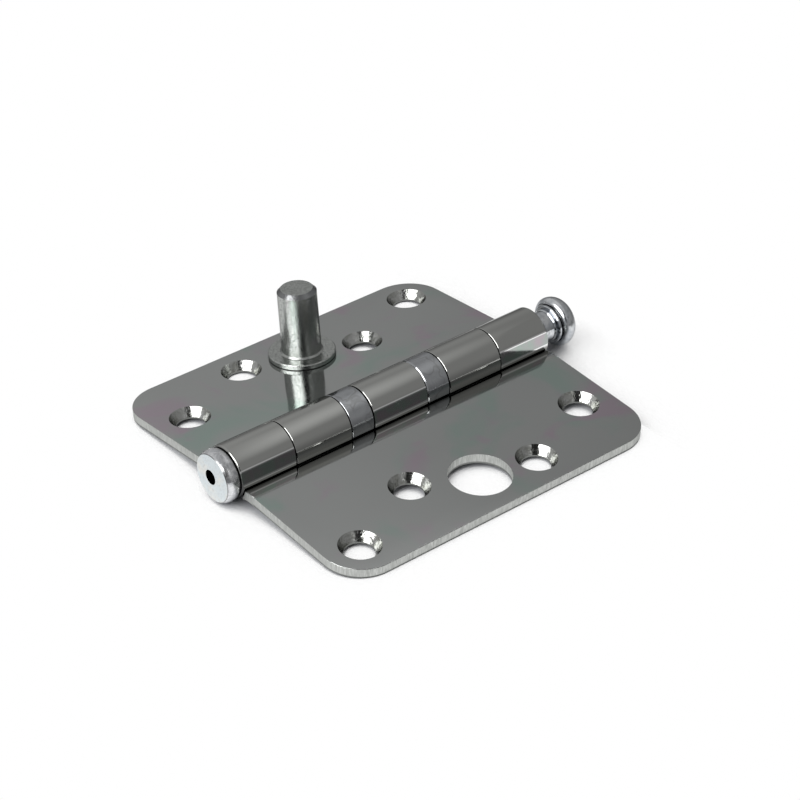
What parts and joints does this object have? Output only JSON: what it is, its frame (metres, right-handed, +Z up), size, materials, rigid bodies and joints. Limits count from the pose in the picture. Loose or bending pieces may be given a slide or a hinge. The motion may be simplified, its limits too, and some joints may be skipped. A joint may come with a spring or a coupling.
{
  "type": "ball bearing butt hinge",
  "caption": "Butt hinge with rolled knuckles and ball bearings on a loose button-headed pin, countersunk screw holes in both leaves and a security stud.",
  "frame": {"origin": "middle of the hinge's whole length, below the pin axis on the table it lies on", "axes": "+X along the pin towards its head, +Y towards the frame leaf, +Z up, countersinks up"},
  "size_m": [0.1038, 0.0886, 0.0215],
  "materials": {
    "leaf_plate": "bright zinc plate on rolled steel, mirror-like with a faint rainbow tint",
    "bearing_ring": "turned and zinc plated steel",
    "button_plate": "bright zinc plate on turned steel",
    "stud_steel": "zinc plated cold-headed steel",
    "ball_steel": "hardened and polished bearing steel",
    "cage_brass": "pressed sheet brass"
  },
  "bodies": {
    "frame": {"frame_leaf": "leaf_plate", "security_stud": "stud_steel", "end_plug": "button_plate", "head_side_bearing_cup": "bearing_ring", "plug_side_bearing_cup": "bearing_ring"},
    "door": {"door_leaf": "leaf_plate", "head_side_bearing_race": "ball_steel", "plug_side_bearing_race": "ball_steel"},
    "pin": {"hinge_pin": "button_plate"},
    "head_side_balls": {"head_side_ball_cage": "cage_brass", "head_side_ball_1": "ball_steel", "head_side_ball_2": "ball_steel", "head_side_ball_3": "ball_steel", "head_side_ball_4": "ball_steel", "head_side_ball_5": "ball_steel", "head_side_ball_6": "ball_steel", "head_side_ball_7": "ball_steel", "head_side_ball_8": "ball_steel", "head_side_ball_9": "ball_steel", "head_side_ball_10": "ball_steel"},
    "plug_side_balls": {"plug_side_ball_cage": "cage_brass", "plug_side_ball_1": "ball_steel", "plug_side_ball_2": "ball_steel", "plug_side_ball_3": "ball_steel", "plug_side_ball_4": "ball_steel", "plug_side_ball_5": "ball_steel", "plug_side_ball_6": "ball_steel", "plug_side_ball_7": "ball_steel", "plug_side_ball_8": "ball_steel", "plug_side_ball_9": "ball_steel", "plug_side_ball_10": "ball_steel"}
  },
  "joints": [
    {"name": "door_swing", "type": "hinge", "parent": "frame", "child": "door", "pos_m": [0, 0, 0.00675], "axis": [-1, 0, 0], "range_deg": [-70, 188.1]},
    {"name": "pin_slide", "type": "slide", "parent": "frame", "child": "pin", "axis": [1, 0, 0], "range_m": [-0.0057, 0.076]},
    {"name": "head_side_ball_roll", "type": "hinge", "parent": "frame", "child": "head_side_balls", "pos_m": [0, 0, 0.00675], "axis": [-1, 0, 0], "range_deg": [-35.1, 94.15]},
    {"name": "plug_side_ball_roll", "type": "hinge", "parent": "frame", "child": "plug_side_balls", "pos_m": [0, 0, 0.00675], "axis": [-1, 0, 0], "range_deg": [-35.1, 94.15]}
  ],
  "couplings": [
    {"joint": "head_side_ball_roll", "follows": "door_swing", "ratio": 0.5},
    {"joint": "plug_side_ball_roll", "follows": "door_swing", "ratio": 0.5}
  ]
}
